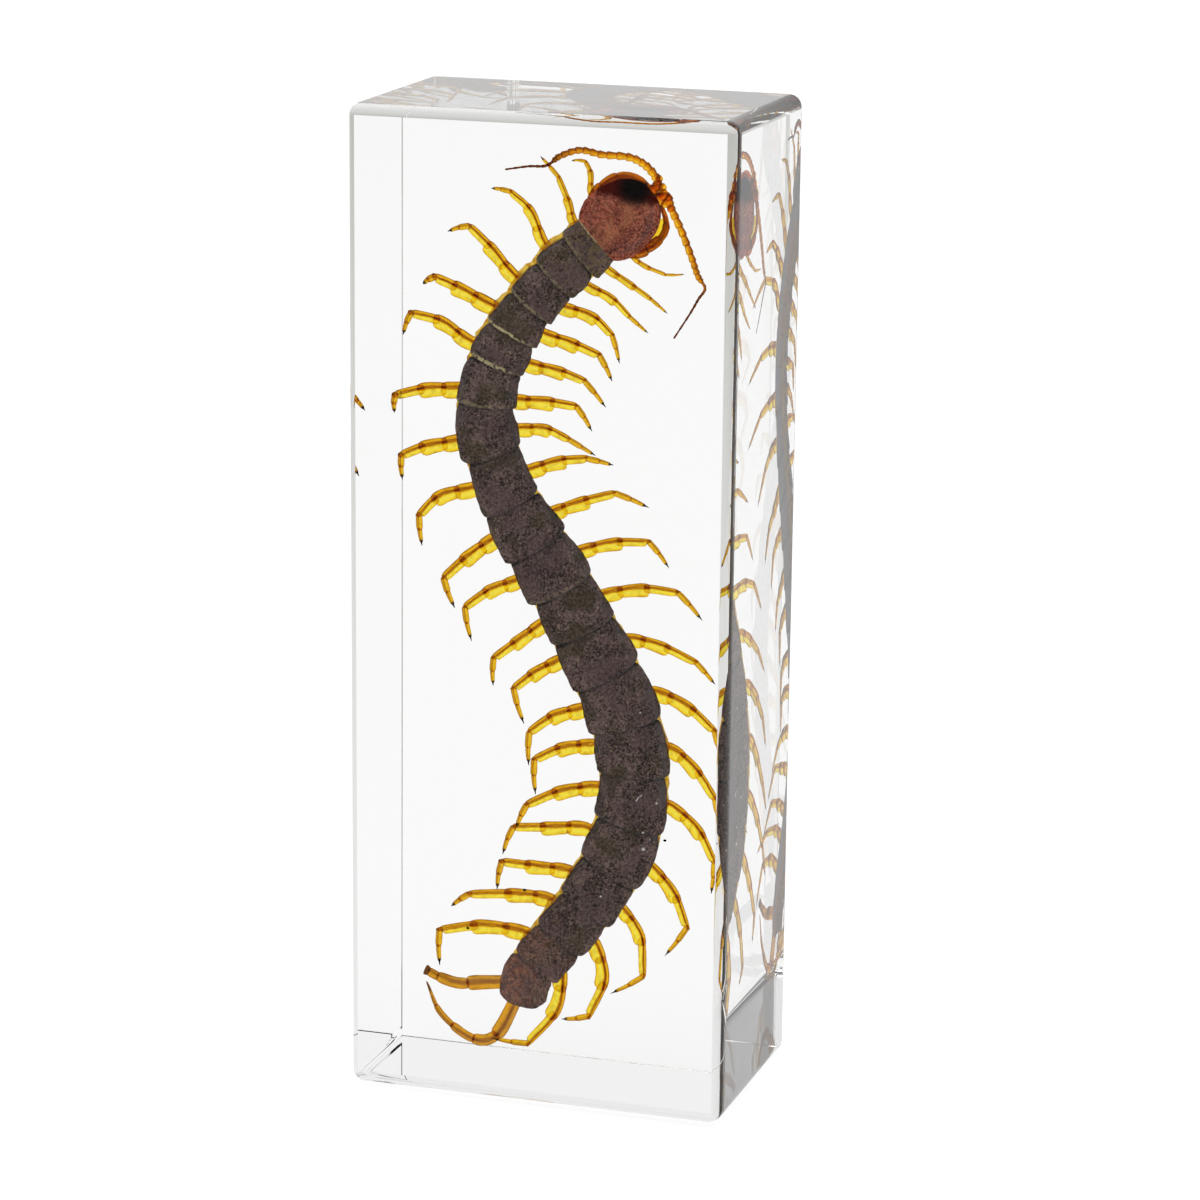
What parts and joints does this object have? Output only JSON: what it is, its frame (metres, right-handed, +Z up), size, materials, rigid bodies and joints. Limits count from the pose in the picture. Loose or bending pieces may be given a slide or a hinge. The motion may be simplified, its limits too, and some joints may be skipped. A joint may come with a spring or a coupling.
{
  "type": "centipede in resin block",
  "caption": "Upright clear resin block that displays a whole dried centipede with its legs spread, seen from its back.",
  "frame": {"origin": "middle of the block's bottom face", "axes": "+Z up along the block's length, +X across its width, and -Y out of the broad face that shows the animal's back"},
  "size_m": [0.043, 0.027, 0.11],
  "materials": {
    "chitin": "dried dark brown cuticle, with translucent amber yellow legs",
    "resin": "polished water-clear casting resin"
  },
  "bodies": {
    "root": {"centipede": "chitin", "resin_front": "resin", "resin_back": "resin"}
  },
  "joints": []
}
